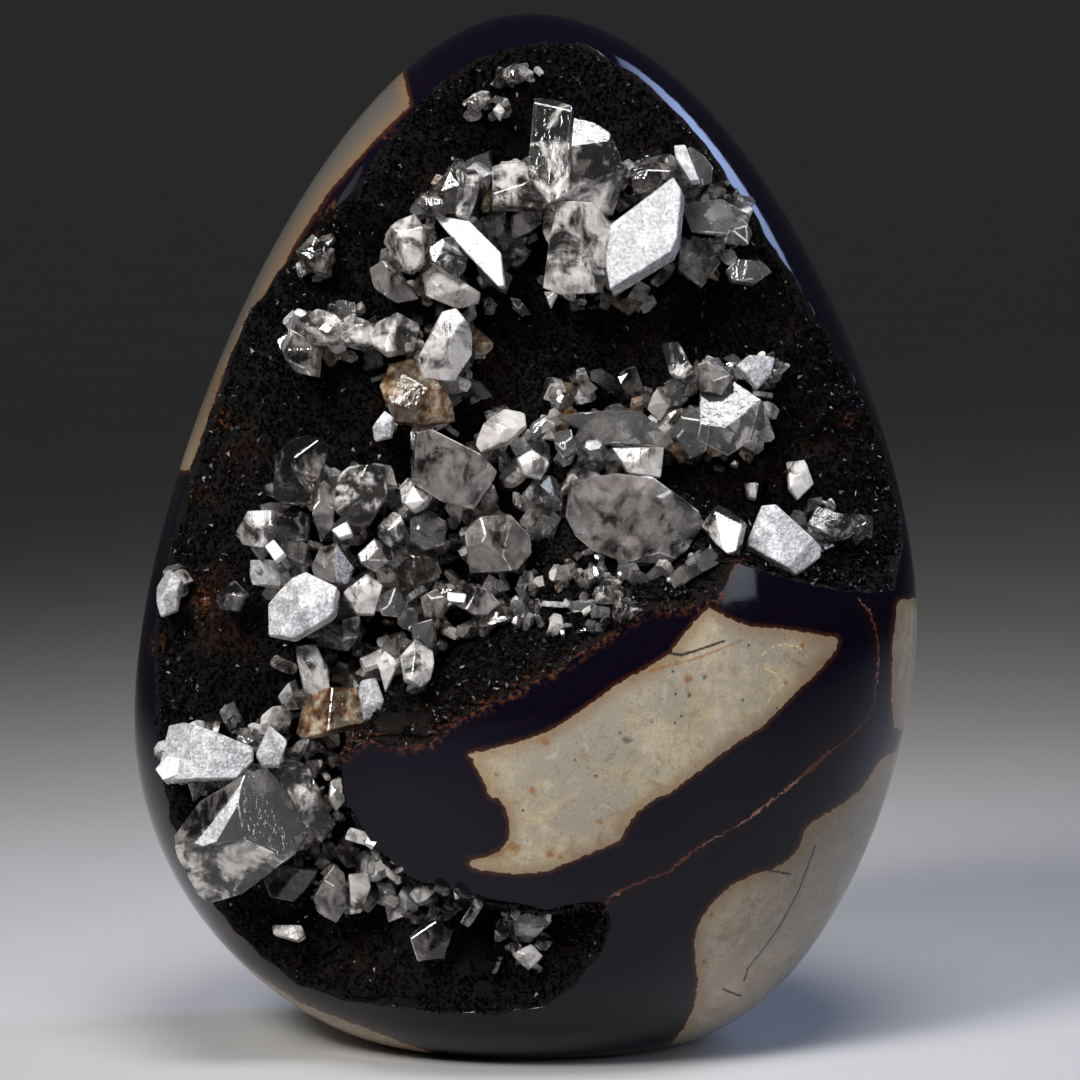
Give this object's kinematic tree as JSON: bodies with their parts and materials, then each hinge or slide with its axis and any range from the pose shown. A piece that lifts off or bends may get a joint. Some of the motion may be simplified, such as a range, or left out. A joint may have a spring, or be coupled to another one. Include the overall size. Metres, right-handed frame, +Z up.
{
  "type": "septarian nodule",
  "caption": "Egg-shaped polished septarian stone with an open front hollow, a tongue of banded stone and a crust of clear blocky crystals; stands on its flat base.",
  "frame": {"origin": "middle of the object's box on the surface that it stands on", "axes": "+Z up to the egg's crown, the open hollow faces -Y, +X to the right when the hollow is looked at"},
  "size_m": [0.1519, 0.1206, 0.2],
  "materials": {
    "polished_stone": "mirror-polished cream-grey mudstone pieces in near-black calcite veins with rust-brown contact lines",
    "calcite_crystal": "clear to milky blocky calcite on a sparkling near-black druse"
  },
  "bodies": {
    "root": {"nodule": "polished_stone", "crystal_crust": "calcite_crystal"}
  },
  "joints": []
}
